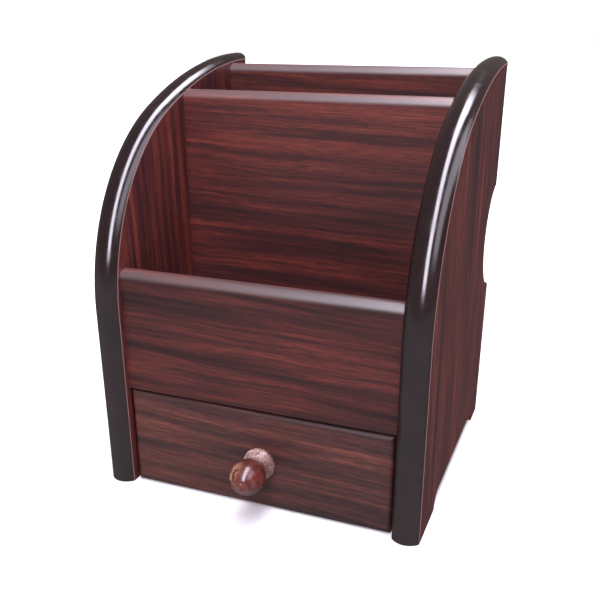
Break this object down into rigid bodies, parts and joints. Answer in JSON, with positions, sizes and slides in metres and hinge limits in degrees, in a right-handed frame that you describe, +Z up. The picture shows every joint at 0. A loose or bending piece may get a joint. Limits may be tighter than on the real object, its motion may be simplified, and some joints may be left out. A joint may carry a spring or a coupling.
{
  "type": "pick holder",
  "caption": "Desk-top pick holder in dark red wood-grain boards: curved side panels with glossy edge moulding, two open compartments and a drawer with a turned wooden knob.",
  "frame": {"origin": "middle of the underside of the whole part's box, on the surface that it stands on", "axes": "+Z up, +X to the right seen from the front, -Y towards the front, where the drawer opens"},
  "size_m": [0.15, 0.1586, 0.1867],
  "materials": {
    "rosewood_foil": "semi-gloss wood-grain foil",
    "edge_moulding": "glossy dark brown",
    "drawer_wood": "sanded, unpainted",
    "hardboard": "smooth hardboard",
    "dowel_wood": "raw beech",
    "knob_wood": "gloss varnish",
    "steel": "bright"
  },
  "bodies": {
    "carcass": {"right_side_panel": "rosewood_foil", "left_side_panel": "rosewood_foil", "right_edge_moulding": "edge_moulding", "left_edge_moulding": "edge_moulding", "front_panel": "rosewood_foil", "divider": "rosewood_foil", "back_panel": "rosewood_foil", "compartment_floor": "rosewood_foil", "bottom_panel": "hardboard", "front_panel_dowels": "dowel_wood", "divider_dowels": "dowel_wood", "back_panel_dowels": "dowel_wood", "floor_dowels": "dowel_wood"},
    "drawer": {"drawer_front": "rosewood_foil", "drawer_right_side": "drawer_wood", "drawer_left_side": "drawer_wood", "drawer_back": "drawer_wood", "drawer_base": "hardboard", "drawer_corner_brads": "steel", "drawer_base_brads": "steel", "knob": "knob_wood", "knob_screw": "steel"}
  },
  "joints": [
    {"name": "drawer_slide", "type": "slide", "parent": "carcass", "child": "drawer", "axis": [0, -1, 0], "range_m": [0, 0.085]}
  ]
}
